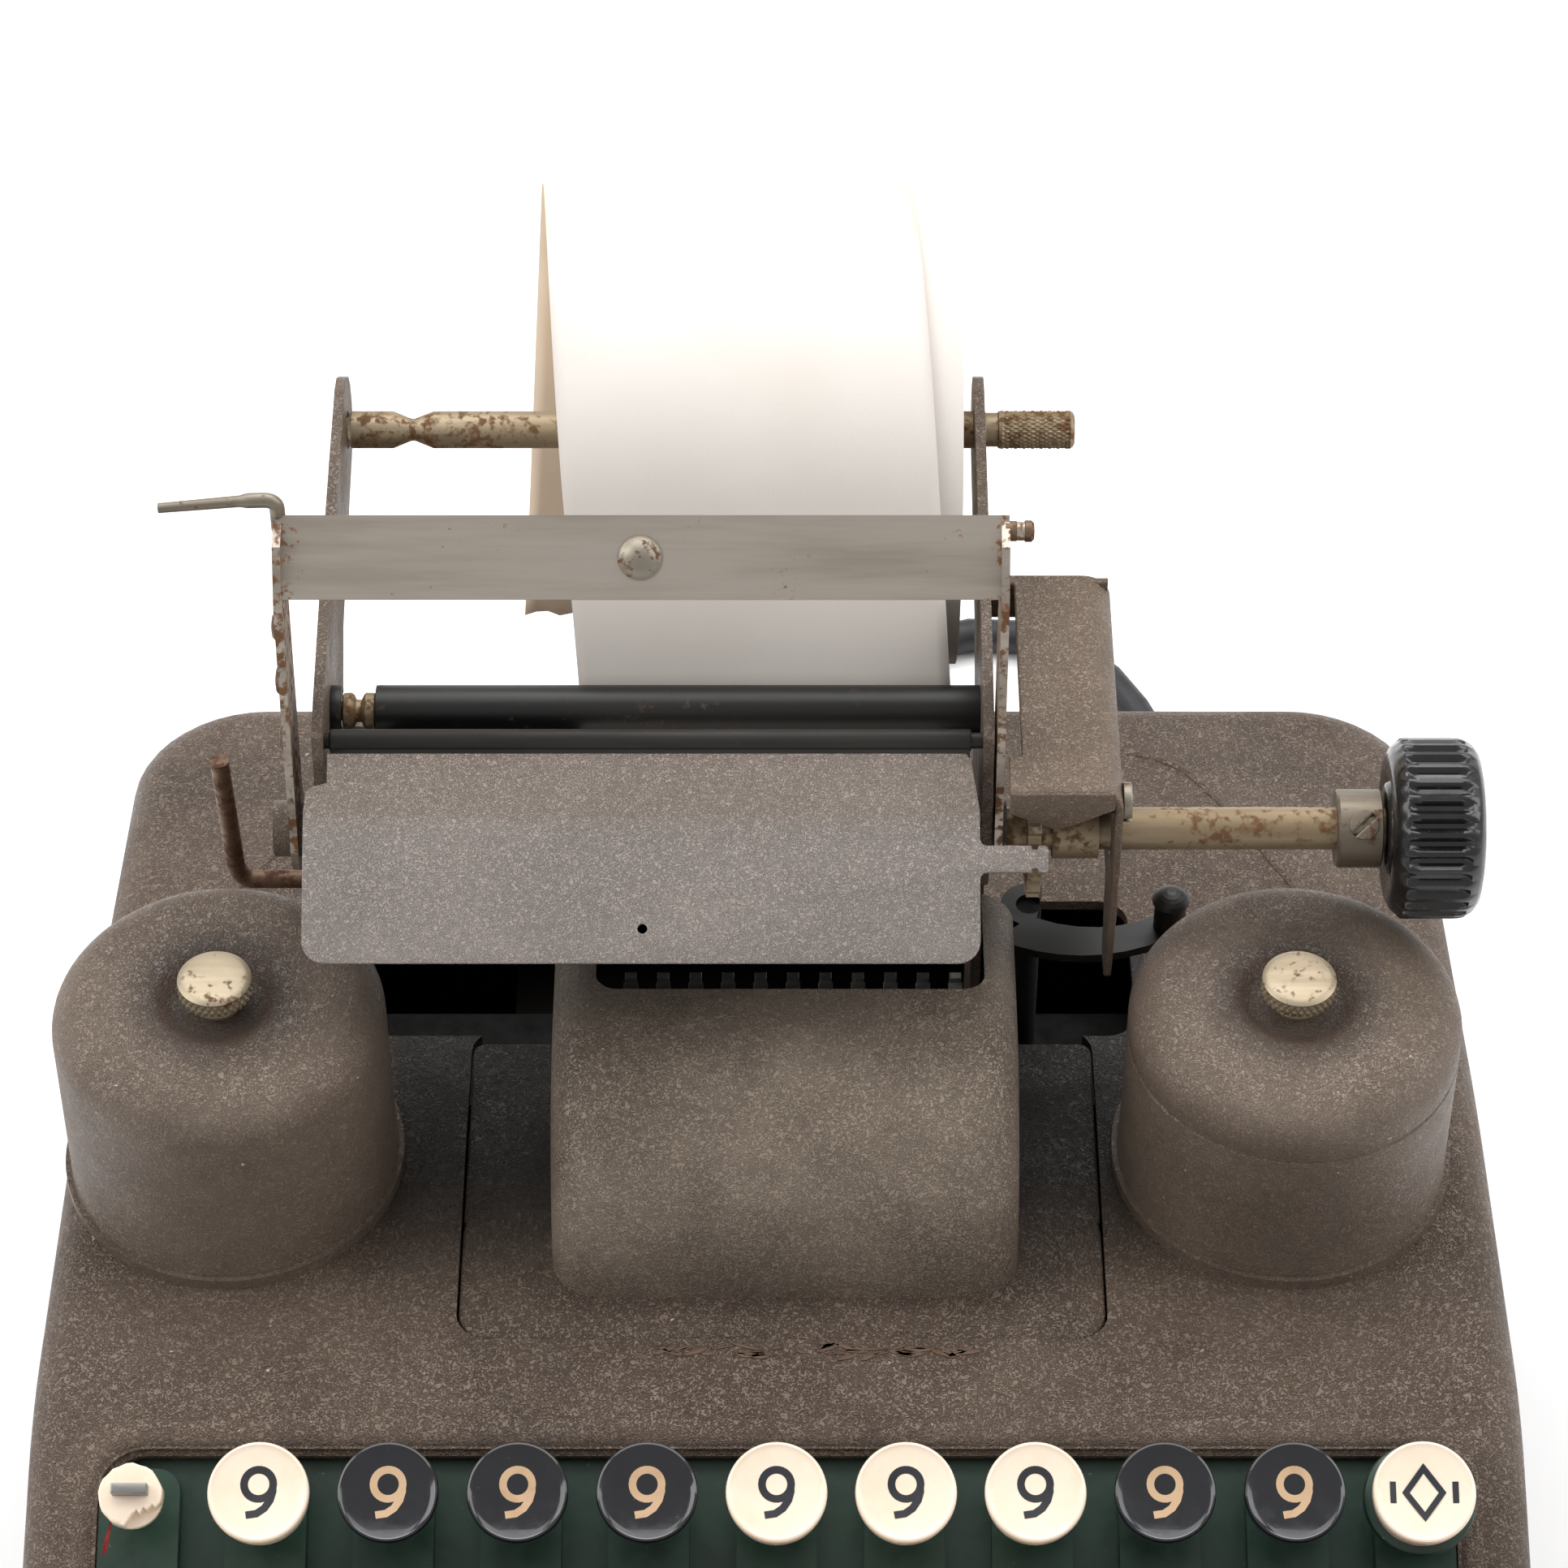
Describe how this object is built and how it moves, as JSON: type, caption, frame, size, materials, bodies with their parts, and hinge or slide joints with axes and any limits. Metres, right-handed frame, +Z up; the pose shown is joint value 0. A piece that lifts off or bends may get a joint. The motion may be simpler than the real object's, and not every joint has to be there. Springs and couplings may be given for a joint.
{
  "type": "mechanical adding machine",
  "caption": "Full-keyboard electric adding machine with painted casing, printing hood, ribbon spool covers, narrow carriage, paper roll and mains cord.",
  "frame": {"origin": "centre of the footprint at the table, under the rubber feet", "axes": "+X to the operator's right, +Y to the back of the machine, +Z up"},
  "size_m": [0.23, 0.4805, 0.2404],
  "materials": {
    "casing_paint": "wrinkle",
    "cover_paint": "satin",
    "dark_steel": "satin",
    "steel": "satin",
    "rusty_steel": "rusted",
    "nickel": "satin",
    "brass": "satin",
    "rubber": "matte",
    "bakelite": "gloss",
    "green_paint": "satin",
    "key_plastic": "gloss",
    "red_plastic": "gloss",
    "paper": "matte"
  },
  "bodies": {
    "chassis": {"base_pan": "dark_steel", "rubber_feet": "rubber", "case_shell": "casing_paint", "case_screws": "steel", "keyboard_plate": "green_paint", "side_frames": "steel", "tie_rods": "steel", "printing_hood": "casing_paint", "spool_cover_left": "cover_paint", "spool_cover_right": "cover_paint", "spool_posts": "rusty_steel", "motor": "dark_steel", "register_shaft": "steel", "carriage_bed": "dark_steel", "carriage_plate_left": "casing_paint", "carriage_plate_right": "casing_paint", "ratchet_cover": "casing_paint", "guide_bar": "bakelite", "feed_rod": "rusty_steel", "hinge_rod": "dark_steel", "paper_strip": "paper", "strain_relief": "rubber", "cord_lead": "rubber", "cord_coil": "rubber", "plug": "bakelite"},
    "row_1": {"keys_row_1": "key_plastic"},
    "row_2": {"keys_row_2": "key_plastic"},
    "row_3": {"keys_row_3": "key_plastic"},
    "row_4": {"keys_row_4": "key_plastic"},
    "row_5": {"keys_row_5": "key_plastic"},
    "row_6": {"keys_row_6": "key_plastic"},
    "row_7": {"keys_row_7": "key_plastic"},
    "row_8": {"keys_row_8": "key_plastic"},
    "row_9": {"keys_row_9": "key_plastic"},
    "subtotal_key_body": {"subtotal_key": "key_plastic"},
    "total_key_body": {"total_key": "red_plastic"},
    "motor_bar_body": {"motor_bar": "key_plastic"},
    "broken_key_body": {"broken_key": "key_plastic"},
    "error_key_body": {"error_key": "key_plastic"},
    "repeat_key_body": {"repeat_key": "key_plastic"},
    "nut_left": {"cover_nut_left": "nickel"},
    "nut_right": {"cover_nut_right": "nickel"},
    "spool_left": {"ribbon_spool_left": "bakelite"},
    "spool_right": {"ribbon_spool_right": "bakelite"},
    "drive": {"drive_shaft": "steel"},
    "pinion": {"motor_pinion": "steel"},
    "register": {"register_wheels": "brass"},
    "type": {"type_bars": "steel"},
    "platen_unit": {"platen": "rubber", "platen_shaft": "rusty_steel", "platen_knob": "bakelite", "knob_collar": "rusty_steel"},
    "flap": {"front_flap": "steel"},
    "bail": {"paper_bail": "steel", "bail_rivet": "steel", "bail_lever": "steel"},
    "roll": {"roll_rod": "rusty_steel", "paper_roll": "paper"},
    "release": {"release_lever": "rusty_steel"},
    "ribbon_arm": {"ribbon_lever": "bakelite"}
  },
  "joints": [
    {"name": "row_1_press", "type": "slide", "parent": "chassis", "child": "row_1", "axis": [0, 0.4226, -0.9063], "range_m": [0, 0.004], "stiffness_N_per_m": 120, "springref_m": -0.004},
    {"name": "row_2_press", "type": "slide", "parent": "chassis", "child": "row_2", "axis": [0, 0.4226, -0.9063], "range_m": [0, 0.004], "stiffness_N_per_m": 120, "springref_m": -0.004},
    {"name": "row_3_press", "type": "slide", "parent": "chassis", "child": "row_3", "axis": [0, 0.4226, -0.9063], "range_m": [0, 0.004], "stiffness_N_per_m": 120, "springref_m": -0.004},
    {"name": "row_4_press", "type": "slide", "parent": "chassis", "child": "row_4", "axis": [0, 0.4226, -0.9063], "range_m": [0, 0.004], "stiffness_N_per_m": 120, "springref_m": -0.004},
    {"name": "row_5_press", "type": "slide", "parent": "chassis", "child": "row_5", "axis": [0, 0.4226, -0.9063], "range_m": [0, 0.004], "stiffness_N_per_m": 120, "springref_m": -0.004},
    {"name": "row_6_press", "type": "slide", "parent": "chassis", "child": "row_6", "axis": [0, 0.4226, -0.9063], "range_m": [0, 0.004], "stiffness_N_per_m": 120, "springref_m": -0.004},
    {"name": "row_7_press", "type": "slide", "parent": "chassis", "child": "row_7", "axis": [0, 0.4226, -0.9063], "range_m": [0, 0.004], "stiffness_N_per_m": 120, "springref_m": -0.004},
    {"name": "row_8_press", "type": "slide", "parent": "chassis", "child": "row_8", "axis": [0, 0.4226, -0.9063], "range_m": [0, 0.004], "stiffness_N_per_m": 120, "springref_m": -0.004},
    {"name": "row_9_press", "type": "slide", "parent": "chassis", "child": "row_9", "axis": [0, 0.4226, -0.9063], "range_m": [0, 0.004], "stiffness_N_per_m": 120, "springref_m": -0.004},
    {"name": "subtotal_key_press", "type": "slide", "parent": "chassis", "child": "subtotal_key_body", "axis": [0, 0.4226, -0.9063], "range_m": [0, 0.004], "stiffness_N_per_m": 120, "springref_m": -0.004},
    {"name": "total_key_press", "type": "slide", "parent": "chassis", "child": "total_key_body", "axis": [0, 0.4226, -0.9063], "range_m": [0, 0.004], "stiffness_N_per_m": 120, "springref_m": -0.004},
    {"name": "motor_bar_press", "type": "slide", "parent": "chassis", "child": "motor_bar_body", "axis": [0, 0.4226, -0.9063], "range_m": [0, 0.004], "stiffness_N_per_m": 120, "springref_m": -0.004},
    {"name": "broken_key_press", "type": "slide", "parent": "chassis", "child": "broken_key_body", "axis": [0, 0.4226, -0.9063], "range_m": [0, 0.004], "stiffness_N_per_m": 120, "springref_m": -0.004},
    {"name": "error_key_press", "type": "slide", "parent": "chassis", "child": "error_key_body", "axis": [0, 0.4226, -0.9063], "range_m": [0, 0.004], "stiffness_N_per_m": 120, "springref_m": -0.004},
    {"name": "repeat_key_press", "type": "slide", "parent": "chassis", "child": "repeat_key_body", "axis": [0, 0.4226, -0.9063], "range_m": [0, 0.004], "stiffness_N_per_m": 120, "springref_m": -0.004},
    {"name": "nut_left_turn", "type": "hinge", "parent": "chassis", "child": "nut_left", "pos_m": [-0.085, 0.0545, 0.168], "axis": [0, 0, 1], "continuous": true},
    {"name": "nut_right_turn", "type": "hinge", "parent": "chassis", "child": "nut_right", "pos_m": [0.079, 0.0545, 0.168], "axis": [0, 0, 1], "continuous": true},
    {"name": "spool_left_turn", "type": "hinge", "parent": "chassis", "child": "spool_left", "pos_m": [-0.085, 0.0545, 0.145], "axis": [0, 0, 1], "continuous": true},
    {"name": "spool_right_turn", "type": "hinge", "parent": "chassis", "child": "spool_right", "pos_m": [0.079, 0.0545, 0.145], "axis": [0, 0, 1], "continuous": true},
    {"name": "drive_turn", "type": "hinge", "parent": "chassis", "child": "drive", "pos_m": [0, 0.0845, 0.06], "axis": [1, 0, 0], "continuous": true},
    {"name": "pinion_turn", "type": "hinge", "parent": "chassis", "child": "pinion", "pos_m": [0, 0.1295, 0.06], "axis": [1, 0, 0], "continuous": true},
    {"name": "register_turn", "type": "hinge", "parent": "chassis", "child": "register", "pos_m": [0, 0.0325, 0.075], "axis": [1, 0, 0], "continuous": true},
    {"name": "type_rise", "type": "slide", "parent": "chassis", "child": "type", "axis": [0, 0, 1], "range_m": [0, 0.013]},
    {"name": "platen_turn", "type": "hinge", "parent": "chassis", "child": "platen_unit", "pos_m": [0, 0.0766, 0.1786], "axis": [1, 0, 0], "continuous": true},
    {"name": "flap_lift", "type": "hinge", "parent": "chassis", "child": "flap", "pos_m": [0, 0.0775, 0.1968], "axis": [-1, 0, 0], "range_deg": [0, 85]},
    {"name": "bail_swing", "type": "hinge", "parent": "chassis", "child": "bail", "pos_m": [0, 0.0766, 0.1786], "axis": [-1, 0, 0], "range_deg": [-25, 12]},
    {"name": "roll_turn", "type": "hinge", "parent": "chassis", "child": "roll", "pos_m": [0, 0.1415, 0.202], "axis": [1, 0, 0], "continuous": true},
    {"name": "release_swing", "type": "hinge", "parent": "chassis", "child": "release", "pos_m": [-0.0862, 0.0945, 0.148], "axis": [1, 0, 0], "range_deg": [-20, 12]},
    {"name": "ribbon_arm_swing", "type": "hinge", "parent": "chassis", "child": "ribbon_arm", "pos_m": [0.04, 0.0885, 0.148], "axis": [0, 0, 1], "range_deg": [-8, 8]}
  ],
  "couplings": [
    {"joint": "pinion_turn", "follows": "drive_turn", "ratio": -4.1667},
    {"joint": "spool_right_turn", "follows": "spool_left_turn", "ratio": 1.5}
  ]
}
